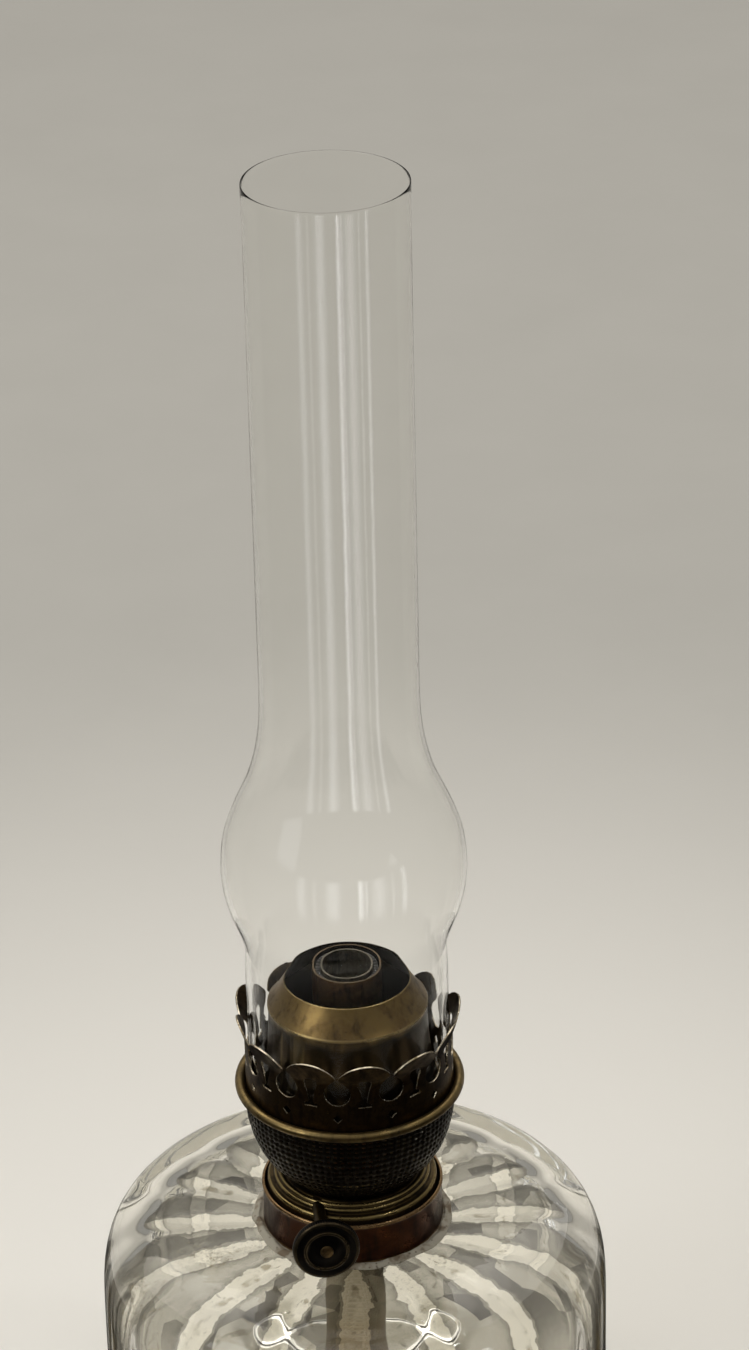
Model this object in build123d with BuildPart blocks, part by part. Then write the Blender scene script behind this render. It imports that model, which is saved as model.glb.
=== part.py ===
import os
from math import cos, pi, radians, sin

from build123d import *

# Glass fount: a low ribbed drum with a short neck
fount_diameter = 135.8
fount_height = 88.0
fount_wall = 4.0
fount_floor = 6.0
heel_radius = 9.4
foot_recess = 2.0
shoulder_reach = 10.4
shoulder_drop = 17.5
shoulder_turn = 52.0
panel_count = 16
panel_turn = -5.6
neck_wall = 3.2
neck_height = 5.6

# Collar cemented to the neck
collar_diameter = 48.3
collar_height = 12.3
sheet = 0.7
cement_gap = 1.85
cement_bead = 0.6
cement_spread = 2.0
lip_reach = 2.0

# Burner base, screwed into the collar
thread_clearance = 0.2
skirt_rise = 1.5
base_step = 0.8
flange_width = 4.5
cup_height = 7.4

# Perforated basket
basket_height = 26.0
basket_sheet = 0.5
basket_slots = 24
slot_width = 2.4

# Gallery ring and spring crown
bead_wire = 1.4
bead_gap = 0.25
gallery_sheet = 0.6
gallery_ledge = 1.8
prong_count = 12
prong_turn = 2.4
crown_sheet = 0.5
crown_height = 22.0
crown_flare = 1.9
crown_grip = 0.3

# Flame cone
cone_gap = 0.7
cone_taper = 2.8
cone_shoulder_height = 24.8
cone_mouth_inset = 4.75
cone_height = 32.0
cone_sheet = 0.6

# Round-wick tubes with a side draught
wick_tube_diameter = 18.1
wick_tube_top = 35.2
tube_sheet = 0.45
wick_thickness = 1.35
wick_clearance = 0.2
draught_width = 8.0
draught_height = 12.0
draught_sheet = 0.6

# Wick
wick_recess = 1.2
wick_travel = 8.0
wick_tail_height = 18.0

# Winder
wheel_diameter = 5.0
wheel_teeth = 10
wheel_width = 1.6
wheel_spacing = 5.2
wheel_clearance = 0.12
shaft_diameter = 2.2
shaft_clearance = 0.05
sleeve_sheet = 0.55
sleeve_overhang = 3.85
knob_diameter = 17.6
knob_depth = 2.6
knob_standoff = 9.2
hub_diameter = 5.2
hub_length = 3.6

# Chimney
chimney_diameter = 53.0
chimney_height = 253.4
chimney_wall = 1.8
bulge_swell = 5.2
bulge_height = 65.8
bulge_curve = 38.7
waist_curve = 6.0
tube_diameter = 40.8
tube_start = 115.5

# Gap left between sheet pieces that are soldered or crimped together
seam = 0.05

# Levels, built up from the table
neck_base = fount_height - 0.9
neck_top = neck_base + neck_height
collar_bottom = neck_base + cement_bead
collar_top = collar_bottom + collar_height
lip_level = neck_top + 0.3
skirt_bottom = lip_level + sheet
skirt_top = collar_top + skirt_rise
cup_bottom = skirt_top + 1.5
cup_top = cup_bottom + cup_height - 2.5
shaft_level = collar_top + shaft_diameter / 2 + sleeve_sheet + shaft_clearance + 0.25
basket_bottom = cup_bottom + 1.0
bead_level = basket_bottom + basket_height + 1.1
floor_top = bead_level - 0.5
floor_bottom = floor_top - gallery_sheet
tube_bottom = shaft_level - wheel_diameter / 2 - 4.5
tube_top = bead_level + wick_tube_top
draught_level = (cup_top + tube_top) / 2 - 19.0

# Radii shared between pieces
fount_radius = fount_diameter / 2
collar_radius = collar_diameter / 2
thread_radius = collar_radius - 0.2 - sheet
neck_radius = thread_radius - cement_gap
lip_radius = neck_radius - lip_reach
skirt_radius = thread_radius - thread_clearance
cup_radius = skirt_radius - base_step - flange_width
sleeve_reach = collar_radius + sleeve_overhang
knob_reach = sleeve_reach + knob_standoff
chimney_radius = chimney_diameter / 2
bulge_radius = chimney_radius + bulge_swell
crown_inner = chimney_radius + crown_grip
bead_radius = crown_inner + crown_sheet + bead_gap + bead_wire
cone_foot = chimney_radius - chimney_wall - cone_gap
cone_shoulder = cone_foot - cone_taper
cone_mouth = cone_shoulder - cone_mouth_inset
gallery_bore = cone_foot - gallery_ledge
tube_outer = wick_tube_diameter / 2
wick_outer = tube_outer - tube_sheet - wick_clearance
wick_inner = wick_outer - wick_thickness
air_outer = wick_inner - wick_clearance
air_inner = air_outer - tube_sheet
wheel_radius = wheel_diameter / 2
wheel_edge = (wheel_spacing - wheel_width) / 2
wheel_face = (wick_outer**2 - wheel_edge**2) ** 0.5 + wheel_clearance
shaft_offset = wheel_face + wheel_radius
shaft_radius = shaft_diameter / 2
shaft_bore = shaft_radius + shaft_clearance
sleeve_radius = shaft_bore + sleeve_sheet

# Planes on the winder shaft: one across it facing the knob, one along it
shaft_end = Plane(origin=(-shaft_offset, 0, shaft_level), x_dir=(1, 0, 0), z_dir=(0, -1, 0))
shaft_side = Plane(origin=(-shaft_offset, 0, shaft_level), x_dir=(1, 0, 0), z_dir=(0, 0, -1))
shaft_axis = Axis((-shaft_offset, 0, shaft_level), (0, -1, 0))


def between(start, end, share):
    return start + (end - start) * share


def chimney_side(inset):
    # Outline of the glass from foot to mouth in tangent arcs, moved in by the wall for the inside
    hollow = bulge_radius - bulge_curve
    foot = chimney_radius - hollow
    tube = tube_diameter / 2 - hollow
    climb = tube_start - bulge_height
    neck_curve = (climb**2 + tube**2 - bulge_curve**2) / (2 * (bulge_curve - tube))
    dip = ((bulge_curve + waist_curve) ** 2 - (foot + waist_curve) ** 2) ** 0.5
    bulge_level = floor_top + bulge_height
    low = (bulge_curve - inset) / (bulge_curve + waist_curve)
    high = (bulge_curve - inset) / (bulge_curve + neck_curve)
    foot_run = Line(
        (chimney_radius - inset, floor_top),
        (chimney_radius - inset, bulge_level - dip),
    )
    waist = TangentArc(
        foot_run @ 1,
        (hollow + (foot + waist_curve) * low, bulge_level - dip * low),
        tangent=(0, 1),
    )
    bulge = ThreePointArc(
        waist @ 1,
        (bulge_radius - inset, bulge_level),
        (hollow + (tube + neck_curve) * high, bulge_level + climb * high),
    )
    neck = TangentArc(
        bulge @ 1,
        (tube_diameter / 2 - inset, floor_top + tube_start),
        tangent=bulge % 1,
    )
    Line(neck @ 1, (tube_diameter / 2 - inset, floor_top + chimney_height))


# Fount: blown drum, smooth outside, its hollow pressed into flat optic panels
fount_inner = fount_radius - fount_wall
shoulder_radius = fount_radius - shoulder_reach
wall_top = fount_height - shoulder_drop
ceiling = fount_height - fount_wall
foot_radius = fount_radius - heel_radius
turn = radians(shoulder_turn)
upper_curve = (shoulder_reach * cos(turn) - shoulder_drop * (1 - sin(turn))) / (sin(turn) + cos(turn) - 1)
edge_reach = upper_curve * sin(turn)
edge_drop = upper_curve * (1 - cos(turn))
hollow_edge = (upper_curve - fount_wall) / upper_curve
hollow_rings = (
    (foot_radius, fount_floor),
    (fount_inner, fount_floor + heel_radius - fount_wall),
    (fount_inner, wall_top),
    (shoulder_radius + edge_reach * hollow_edge, ceiling - edge_drop * hollow_edge),
    (shoulder_radius, ceiling),
)
with BuildPart() as fount:
    with BuildSketch(Plane.XZ):
        with BuildLine():
            Polyline(
                (0, fount_height),
                (0, foot_recess),
                (foot_radius - 9, foot_recess),
                (foot_radius - 7, 0),
                (foot_radius, 0),
            )
            TangentArc((foot_radius, 0), (fount_radius, heel_radius), tangent=(1, 0))
            Line((fount_radius, heel_radius), (fount_radius, wall_top))
            edge = TangentArc(
                (shoulder_radius, fount_height),
                (shoulder_radius + edge_reach, fount_height - edge_drop),
                tangent=(1, 0),
            )
            TangentArc(edge @ 1, (fount_radius, wall_top), tangent=edge % 1)
            Line((shoulder_radius, fount_height), (0, fount_height))
        make_face()
    revolve(axis=Axis.Z)
    with BuildSketch(Plane.XY.offset(neck_base)):
        Circle(neck_radius + 6)
        Circle(neck_radius, mode=Mode.SUBTRACT)
    extrude(amount=neck_height, mode=Mode.SUBTRACT)
    with BuildSketch(Plane.XY.offset(neck_base)):
        Circle(neck_radius)
    extrude(amount=neck_height)
    for ring_radius, ring_level in hollow_rings:
        with BuildSketch(Plane.XY.offset(ring_level)):
            RegularPolygon(ring_radius, panel_count, rotation=panel_turn - 90 + 180 / panel_count)
    loft(ruled=True, mode=Mode.SUBTRACT)
    with BuildSketch(Plane.XY.offset(fount_floor + 1)):
        Circle(neck_radius - neck_wall)
    extrude(amount=neck_top, mode=Mode.SUBTRACT)
fount.part.label = "fount"

# Cement between neck and collar, squeezed out below the collar
with BuildPart() as neck_cement:
    with BuildSketch(Plane.XZ):
        with BuildLine():
            Polyline(
                (neck_radius + seam, neck_base),
                (collar_radius + cement_spread, neck_base),
                (collar_radius + cement_spread * 0.7, neck_base + cement_bead * 0.7),
                (collar_radius + cement_spread * 0.3, collar_bottom),
                (thread_radius - seam, collar_bottom),
                (thread_radius - seam, neck_top),
                (neck_radius + seam, neck_top),
                close=True,
            )
        make_face()
    revolve(axis=Axis.Z)
neck_cement.part.label = "neck_cement"

# Collar: rolled rim, threaded wall and a lip over the glass neck
with BuildPart() as collar:
    with BuildSketch(Plane.XZ):
        with BuildLine():
            Line((thread_radius, collar_bottom), (collar_radius, collar_bottom))
            Line((collar_radius, collar_bottom), (collar_radius - 0.2, collar_bottom + 2.4))
            Line((collar_radius - 0.2, collar_bottom + 2.4), (collar_radius - 0.2, collar_top - 1.3))
            Polyline(
                (collar_radius - 0.2, collar_top - 1.3),
                (collar_radius + 0.1, collar_top - 0.9),
                (collar_radius + 0.1, collar_top - 0.3),
                (collar_radius - 0.2, collar_top),
                (thread_radius, collar_top),
                (thread_radius, skirt_bottom),
                (lip_radius, skirt_bottom),
                (lip_radius, lip_level),
                (thread_radius, lip_level),
                (thread_radius, collar_bottom),
            )
        make_face()
    revolve(axis=Axis.Z)
collar.part.label = "collar"

# Burner base: threaded skirt, stepped shoulder, raised bead and a cup over the wick wheels
with BuildPart() as burner_base:
    with BuildSketch(Plane.XZ):
        with BuildLine():
            Polyline(
                (skirt_radius, skirt_bottom),
                (skirt_radius, collar_top - 1.2),
                (skirt_radius - base_step, collar_top - 0.6),
                (skirt_radius - base_step, skirt_top),
            )
            Polyline(
                (skirt_radius - base_step, skirt_top),
                (skirt_radius - base_step - 0.9, skirt_top + 0.9),
                (cup_radius + 2.6, cup_bottom),
                (cup_radius + 2.2, cup_bottom + 0.8),
                (cup_radius + 1.2, cup_bottom + 0.8),
                (cup_radius + 0.8, cup_bottom),
                (cup_radius, cup_bottom),
                (cup_radius, cup_top),
                (tube_outer + seam, cup_top),
                (tube_outer + seam, cup_top - sheet),
                (cup_radius - sheet, cup_top - sheet),
                (cup_radius - sheet, cup_bottom - sheet),
                (skirt_radius - base_step - sheet, skirt_top - 0.2),
                (skirt_radius - base_step - sheet, skirt_bottom),
                (skirt_radius, skirt_bottom),
            )
        make_face()
    revolve(axis=Axis.Z)
    with BuildSketch(shaft_end.offset(cup_radius * 0.55)):
        Circle(sleeve_radius + seam)
    extrude(amount=sleeve_reach, mode=Mode.SUBTRACT)
    with Locations((0, (cup_radius + tube_outer) / 2, cup_top)):
        Cylinder(0.8, 4 * sheet, mode=Mode.SUBTRACT)
burner_base.part.label = "burner_base"

# Outer wick tube, cut through for the wheels and the draught
with BuildPart() as wick_tube:
    with BuildSketch(Plane.XY.offset(tube_bottom)):
        Circle(tube_outer)
        Circle(tube_outer - tube_sheet, mode=Mode.SUBTRACT)
    extrude(amount=tube_top - tube_bottom)
    with Locations(
        (-tube_outer, -wheel_spacing / 2, shaft_level),
        (-tube_outer, wheel_spacing / 2, shaft_level),
    ):
        Box(wheel_diameter, wheel_width + 0.6, wheel_diameter + 1.6, mode=Mode.SUBTRACT)
    with Locations((0, tube_outer, draught_level)):
        Box(draught_width, tube_outer, draught_height, mode=Mode.SUBTRACT)
wick_tube.part.label = "wick_tube"

# Inner air tube and the dished cap soldered across its lower end
air_bottom = cup_top + 1.4
with BuildPart() as air_tube:
    with BuildSketch(Plane.XY.offset(air_bottom)):
        Circle(air_outer)
        Circle(air_inner, mode=Mode.SUBTRACT)
    extrude(amount=tube_top - air_bottom)
    with Locations((0, air_outer, draught_level)):
        Box(draught_width, air_outer, draught_height, mode=Mode.SUBTRACT)
air_tube.part.label = "air_tube"

with BuildPart() as air_tube_cap:
    with BuildSketch(Plane.XZ):
        with BuildLine():
            Polyline(
                (0, air_bottom),
                (air_inner * 0.7, air_bottom),
                (air_inner - seam, air_bottom + 1.2),
                (0, air_bottom + 1.2),
                close=True,
            )
        make_face()
    revolve(axis=Axis.Z)
air_tube_cap.part.label = "air_tube_cap"

# Side duct that carries air through the slit in the wick
with BuildPart() as air_duct:
    duct_length = tube_outer - air_inner + 0.6
    with Locations((0, (tube_outer + air_inner) / 2 - 0.3, draught_level)):
        Box(draught_width - 2 * seam, duct_length, draught_height - 2 * seam)
        Box(
            draught_width - 2 * draught_sheet,
            2 * duct_length,
            draught_height - 2 * draught_sheet,
            mode=Mode.SUBTRACT,
        )
air_duct.part.label = "air_duct"

# Basket: thin bowl with upright draught slots all round
basket_radius = bead_radius - bead_wire * 0.72
bowl_radius = between(cup_radius, basket_radius, 0.78)
bowl_level = floor_bottom - basket_height * 0.58
with BuildPart() as basket:
    with BuildSketch(Plane.XZ):
        with BuildLine():
            Polyline(
                (basket_radius, floor_bottom),
                (basket_radius, floor_bottom - basket_height * 0.12),
                (bowl_radius, bowl_level),
                (cup_radius + 0.9, basket_bottom + 1.8),
                (cup_radius + basket_sheet + seam, basket_bottom),
                (cup_radius + seam, basket_bottom),
                (cup_radius + 0.4, basket_bottom + 2.0),
                (bowl_radius - basket_sheet * 0.84, bowl_level + basket_sheet * 0.54),
                (basket_radius - basket_sheet, floor_bottom - basket_height * 0.12),
                (basket_radius - basket_sheet, floor_bottom),
                close=True,
            )
        make_face()
    revolve(axis=Axis.Z)
    with Locations((0, 0, floor_bottom - basket_height * 0.48)):
        with PolarLocations(basket_radius, basket_slots):
            Box(16, slot_width, basket_height * 0.62, mode=Mode.SUBTRACT)
basket.part.label = "basket"

# Gallery ring: flat floor for the chimney inside a rolled bead
with BuildPart() as gallery_ring:
    with BuildSketch(Plane.XZ):
        with BuildLine():
            Polyline(
                (gallery_bore, floor_bottom),
                (bead_radius, floor_bottom),
                (bead_radius, floor_top),
                (gallery_bore, floor_top),
                close=True,
            )
        make_face()
        with Locations((bead_radius, bead_level)):
            RegularPolygon(bead_wire, 10)
    revolve(axis=Axis.Z)
gallery_ring.part.label = "gallery_ring"

# One sector of the crown's piercing: the gap beside a prong and the openings in its stem
prong_half = crown_inner * sin(pi / prong_count) * 1.05
gap_radius = prong_half * 0.48
gap_centre = crown_height * 0.57
waist_level = crown_height * 0.79
waist_half = 0.6
gap_turn = pi / prong_count
prong_plane = Plane(origin=(0, 0, floor_top), x_dir=(1, 0, 0), z_dir=(0, -1, 0))
gap_plane = Plane(
    origin=(0, 0, floor_top),
    x_dir=(cos(gap_turn), sin(gap_turn), 0),
    z_dir=(sin(gap_turn), -cos(gap_turn), 0),
)
pierce_start = crown_inner * 0.85
pierce_depth = crown_inner * 0.4
with BuildPart() as piercing:
    with BuildSketch(gap_plane.offset(pierce_start)):
        with BuildLine():
            left_head = ThreePointArc(
                (-prong_half, crown_height),
                (-prong_half * 0.45, crown_height - 1.5),
                (-waist_half, waist_level),
            )
            left_side = Line(left_head @ 1, (-gap_radius * 0.9, gap_centre + gap_radius * 0.44))
            hollow = ThreePointArc(
                left_side @ 1,
                (0, gap_centre - gap_radius),
                (gap_radius * 0.9, gap_centre + gap_radius * 0.44),
            )
            right_side = Line(hollow @ 1, (waist_half, waist_level))
            right_head = ThreePointArc(
                right_side @ 1,
                (prong_half * 0.45, crown_height - 1.5),
                (prong_half, crown_height),
            )
            Polyline(
                right_head @ 1,
                (prong_half, crown_height + 5),
                (-prong_half, crown_height + 5),
                left_head @ 0,
            )
        make_face()
        with Locations((0, crown_height * 0.23)):
            Rectangle(1.8, 1.8, rotation=45)
    extrude(amount=pierce_depth)
    with BuildSketch(prong_plane.offset(pierce_start)):
        with BuildLine():
            Polyline(
                (-1.8, crown_height * 0.38),
                (1.8, crown_height * 0.38),
                (1.8, crown_height * 0.42),
                (0.5, crown_height * 0.44),
                (1.7, crown_height * 0.75),
                (-1.7, crown_height * 0.75),
                (-0.5, crown_height * 0.44),
                (-1.8, crown_height * 0.42),
                close=True,
            )
        make_face()
    extrude(amount=pierce_depth)

# Spring crown: a thin band of pierced leaf prongs with flared tips
flare_level = floor_top + waist_level - 2.0
crown_top = floor_top + crown_height
with BuildPart() as crown:
    with BuildSketch(Plane.XZ):
        with BuildLine():
            Polyline(
                (crown_inner, floor_top),
                (crown_inner, flare_level),
                (crown_inner + crown_flare, crown_top),
                (crown_inner + crown_sheet + crown_flare, crown_top),
                (crown_inner + crown_sheet, flare_level),
                (crown_inner + crown_sheet, floor_top),
                close=True,
            )
        make_face()
    revolve(axis=Axis.Z)
    for prong in range(prong_count):
        with PolarLocations(0, 1, start_angle=prong_turn + prong * 360 / prong_count):
            add(piercing.part, mode=Mode.SUBTRACT)
crown.part.label = "crown"

# Flame cone: bell-shaped wall, overhanging edge and a conical top
cone_wall = cone_shoulder - 0.4
with BuildPart() as cone:
    with BuildSketch(Plane.XZ):
        with BuildLine():
            Polyline(
                (gallery_bore + 0.2, floor_top),
                (cone_foot, floor_top),
                (cone_foot, floor_top + cone_sheet),
                (cone_foot - 0.7, floor_top + cone_sheet),
                (cone_wall + 0.5, floor_top + cone_shoulder_height * 0.5),
                (cone_wall, floor_top + cone_shoulder_height - 0.5),
                (cone_wall + 0.4, floor_top + cone_shoulder_height - 0.5),
                (cone_wall + 0.4, floor_top + cone_shoulder_height),
                (cone_mouth, floor_top + cone_height),
                (cone_mouth - cone_sheet * 0.7, floor_top + cone_height),
                (cone_mouth - cone_sheet * 0.7, floor_top + cone_height - cone_sheet),
                (cone_wall - cone_sheet, floor_top + cone_shoulder_height - 0.4),
                (cone_wall + 0.5 - cone_sheet, floor_top + cone_shoulder_height * 0.5),
                (cone_foot - 0.7 - cone_sheet, floor_top + cone_sheet),
                close=True,
            )
        make_face()
    revolve(axis=Axis.Z)
cone.part.label = "cone"

# Sleeve soldered through the base for the winder shaft
sleeve_start = cup_radius * 0.72
with BuildPart() as shaft_sleeve:
    with BuildSketch(shaft_end.offset(sleeve_start)):
        Circle(sleeve_radius)
        Circle(shaft_bore, mode=Mode.SUBTRACT)
    extrude(amount=sleeve_reach - sleeve_start)
shaft_sleeve.part.label = "shaft_sleeve"

# Sheet box around the wick wheels, hung under the cup with a bearing at each end
cheek_inner = wheel_spacing / 2 + wheel_width / 2 + 0.7
box_back = shaft_offset + wheel_radius + 0.6
box_height = cup_top - sheet - tube_bottom - 1.0
with BuildPart() as wheel_box:
    with Locations((-(box_back + sheet) / 2 - 2.0, 0, cup_top - sheet - box_height / 2)):
        Box(box_back + sheet - 4.0, 2 * (cheek_inner + sheet), box_height)
        with Locations((sheet, 0, 0)):
            Box(box_back + sheet - 4.0, 2 * cheek_inner, 2 * box_height, mode=Mode.SUBTRACT)
    with BuildSketch(Plane.XY.offset(tube_bottom - 5)):
        Circle(tube_outer + seam)
    extrude(amount=cup_top, mode=Mode.SUBTRACT)
    with BuildSketch(shaft_end.offset(-2 * cheek_inner)):
        Circle(shaft_bore)
    extrude(amount=4 * cheek_inner, mode=Mode.SUBTRACT)
    with BuildSketch(Plane.XY.offset(tube_bottom - 5)):
        Circle(cup_radius - sheet - seam)
    extrude(amount=cup_top, mode=Mode.INTERSECT)
wheel_box.part.label = "wheel_box"

# Winder shaft with its end riveted over in front of the knob
rivet_length = 0.8
with BuildPart() as winder_shaft:
    with BuildSketch(shaft_side):
        with BuildLine():
            Polyline(
                (0, -cheek_inner - sheet - 0.8),
                (shaft_radius, -cheek_inner - sheet - 0.8),
                (shaft_radius, knob_reach),
                (shaft_radius + 0.7, knob_reach),
                (shaft_radius + 0.5, knob_reach + rivet_length * 0.55),
                (shaft_radius * 0.5, knob_reach + rivet_length),
                (0, knob_reach + rivet_length),
                close=True,
            )
        make_face()
    revolve(axis=shaft_axis)
winder_shaft.part.label = "winder_shaft"


def star_wheel(centre):
    # Toothed wheel across the shaft, its teeth just short of the wick
    step = 360 / wheel_teeth
    points = []
    for tooth in range(wheel_teeth):
        for turn, reach in ((0, wheel_radius), (0.5, wheel_radius * 0.72)):
            angle = radians((tooth + turn) * step)
            points.append((reach * cos(angle), reach * sin(angle)))
    with BuildPart() as wheel:
        with BuildSketch(shaft_end.offset(centre - wheel_width / 2)):
            with BuildLine():
                Polyline(*points, close=True)
            make_face()
            Circle(shaft_radius + seam / 2, mode=Mode.SUBTRACT)
        extrude(amount=wheel_width)
    return wheel.part


wheel_front = star_wheel(wheel_spacing / 2)
wheel_front.label = "wheel_front"
wheel_back = star_wheel(-wheel_spacing / 2)
wheel_back.label = "wheel_back"

# Ring pinned on the shaft behind the sleeve, so the winder cannot be pulled out
with BuildPart() as stop_ring:
    with BuildSketch(shaft_end.offset(sleeve_start - 1.6)):
        Circle(sleeve_radius)
        Circle(shaft_radius + seam / 2, mode=Mode.SUBTRACT)
    extrude(amount=1.2)
stop_ring.part.label = "stop_ring"

# Knob: pressed disc with a broad rim and a raised ring on its face
knob_radius = knob_diameter / 2
with BuildPart() as knob:
    with BuildSketch(shaft_side):
        with BuildLine():
            Polyline(
                (shaft_radius + seam / 2, knob_reach - 1.0),
                (shaft_radius + seam / 2, knob_reach),
                (knob_radius * 0.54, knob_reach - 0.5),
                (knob_radius * 0.59, knob_reach),
                (knob_radius * 0.66, knob_reach),
                (knob_radius * 0.71, knob_reach - 0.5),
                (knob_radius - 0.8, knob_reach - 0.3),
                (knob_radius, knob_reach - 0.9),
                (knob_radius, knob_reach - knob_depth),
                (knob_radius - 0.8, knob_reach - knob_depth),
                (knob_radius - 1.0, knob_reach - 1.2),
                close=True,
            )
        make_face()
    revolve(axis=shaft_axis)
knob.part.label = "knob"

# Hub soldered behind the knob
with BuildPart() as knob_hub:
    with BuildSketch(shaft_end.offset(knob_reach - 1.3 - hub_length)):
        Circle(hub_diameter / 2)
        Circle(shaft_radius + seam / 2, mode=Mode.SUBTRACT)
    extrude(amount=hub_length)
knob_hub.part.label = "knob_hub"

# Wick: a flat woven band rolled into a tube, open below the draught, its tail in the oil
wick_top = tube_top - wick_recess
slit_top = draught_level + draught_height / 2 + wick_travel + 0.8
with BuildPart() as wick:
    with BuildSketch(Plane.XY.offset(wick_tail_height)):
        Circle(wick_outer)
        Circle(wick_inner, mode=Mode.SUBTRACT)
    extrude(amount=wick_top - wick_tail_height)
    with Locations((0, wick_outer, slit_top - (slit_top - wick_tail_height + 2) / 2)):
        Box(draught_width + 1.0, wick_outer, slit_top - wick_tail_height + 2, mode=Mode.SUBTRACT)
wick.part.label = "wick"

# Chimney: straight foot, pinched bulge and a long tube
with BuildPart() as chimney:
    with BuildSketch(Plane.XZ):
        with BuildLine():
            chimney_side(0)
            chimney_side(chimney_wall)
            Line((chimney_radius, floor_top), (chimney_radius - chimney_wall, floor_top))
            mouth = tube_diameter / 2
            Polyline(
                (mouth, floor_top + chimney_height),
                (mouth - chimney_wall * 0.3, floor_top + chimney_height + chimney_wall * 0.3),
                (mouth - chimney_wall * 0.7, floor_top + chimney_height + chimney_wall * 0.3),
                (mouth - chimney_wall, floor_top + chimney_height),
            )
        make_face()
    revolve(axis=Axis.Z)
chimney.part.label = "chimney"

os.makedirs("parts", exist_ok=True)
export_step(fount.part, "parts/fount.step")
export_step(neck_cement.part, "parts/neck_cement.step")
export_step(collar.part, "parts/collar.step")
export_step(burner_base.part, "parts/burner_base.step")
export_step(wick_tube.part, "parts/wick_tube.step")
export_step(air_tube.part, "parts/air_tube.step")
export_step(air_tube_cap.part, "parts/air_tube_cap.step")
export_step(air_duct.part, "parts/air_duct.step")
export_step(basket.part, "parts/basket.step")
export_step(gallery_ring.part, "parts/gallery_ring.step")
export_step(crown.part, "parts/crown.step")
export_step(cone.part, "parts/cone.step")
export_step(shaft_sleeve.part, "parts/shaft_sleeve.step")
export_step(wheel_box.part, "parts/wheel_box.step")
export_step(winder_shaft.part, "parts/winder_shaft.step")
export_step(wheel_front, "parts/wheel_front.step")
export_step(wheel_back, "parts/wheel_back.step")
export_step(stop_ring.part, "parts/stop_ring.step")
export_step(knob.part, "parts/knob.step")
export_step(knob_hub.part, "parts/knob_hub.step")
export_step(wick.part, "parts/wick.step")
export_step(chimney.part, "parts/chimney.step")
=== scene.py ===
import math
import bpy
import bmesh
from mathutils import Matrix, Vector, noise


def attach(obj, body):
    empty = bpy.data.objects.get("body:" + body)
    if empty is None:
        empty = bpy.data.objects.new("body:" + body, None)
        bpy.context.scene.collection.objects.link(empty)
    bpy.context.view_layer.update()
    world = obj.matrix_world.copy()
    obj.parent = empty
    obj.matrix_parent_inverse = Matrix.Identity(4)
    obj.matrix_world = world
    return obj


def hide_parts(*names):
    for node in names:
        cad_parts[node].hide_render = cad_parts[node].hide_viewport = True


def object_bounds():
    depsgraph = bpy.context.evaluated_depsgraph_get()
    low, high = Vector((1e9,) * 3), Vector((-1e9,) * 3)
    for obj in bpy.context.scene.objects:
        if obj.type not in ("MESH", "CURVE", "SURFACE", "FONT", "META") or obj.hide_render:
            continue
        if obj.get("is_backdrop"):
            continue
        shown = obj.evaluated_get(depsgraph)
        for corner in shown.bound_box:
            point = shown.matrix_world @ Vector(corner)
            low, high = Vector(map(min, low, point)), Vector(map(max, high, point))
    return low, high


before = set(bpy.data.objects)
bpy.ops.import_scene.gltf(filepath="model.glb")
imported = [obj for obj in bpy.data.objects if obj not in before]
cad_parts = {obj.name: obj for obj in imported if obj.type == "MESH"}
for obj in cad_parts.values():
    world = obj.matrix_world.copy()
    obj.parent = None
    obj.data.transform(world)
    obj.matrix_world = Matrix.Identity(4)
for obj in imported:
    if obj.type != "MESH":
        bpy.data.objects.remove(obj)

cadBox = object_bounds()
mm = 0.001
scene = bpy.context.scene
scene.view_settings.view_transform = "Standard"
scene.cycles.max_bounces = 24  # thick glass needs long light paths
scene.cycles.glossy_bounces = 16
scene.cycles.transmission_bounces = 24

# heights in mm above the table that several pieces share
level = {"shaft": 101.95, "gallery": 130.6, "bead": 131.1, "tubeTop": 166.3}
shaftOffset = 10.825  # mm from the lamp's axis to the winder shaft
cameraBearing = -5.6  # degrees round the lamp from its front
towardCamera = math.radians(-90 + cameraBearing)  # ribs and stripes are set out from here
print("frame loaded", len(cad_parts), "nodes")


# shader sums as Python
class Wire:
    def __init__(self, finish, socket):
        self.finish = finish
        self.socket = socket

    def sum(self, operation, *values):
        return self.finish.node("ShaderNodeMath", {"operation": operation}, dict(enumerate(values)))

    def __add__(self, other):
        return self.sum("ADD", self, other)

    def __radd__(self, other):
        return self.sum("ADD", other, self)

    def __sub__(self, other):
        return self.sum("SUBTRACT", self, other)

    def __rsub__(self, other):
        return self.sum("SUBTRACT", other, self)

    def __mul__(self, other):
        return self.sum("MULTIPLY", self, other)

    def __rmul__(self, other):
        return self.sum("MULTIPLY", other, self)

    def __pow__(self, other):
        return self.sum("POWER", self, other)

    def most(self, other):
        return self.sum("MAXIMUM", self, other)

    def least(self, other):
        return self.sum("MINIMUM", self, other)

    def sine(self):
        return self.sum("SINE", self)

    def fade(self, low, high, start=0.0, end=1.0):  # smooth step from low to high
        settings = {"interpolation_type": "SMOOTHSTEP"}
        ends = {"Value": self, "From Min": low, "From Max": high, "To Min": start, "To Max": end}
        return self.finish.node("ShaderNodeMapRange", settings, ends)

    def part(self, name):  # another output of the same node
        return Wire(self.finish, socketOf(self.socket.node.outputs, name))


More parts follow.
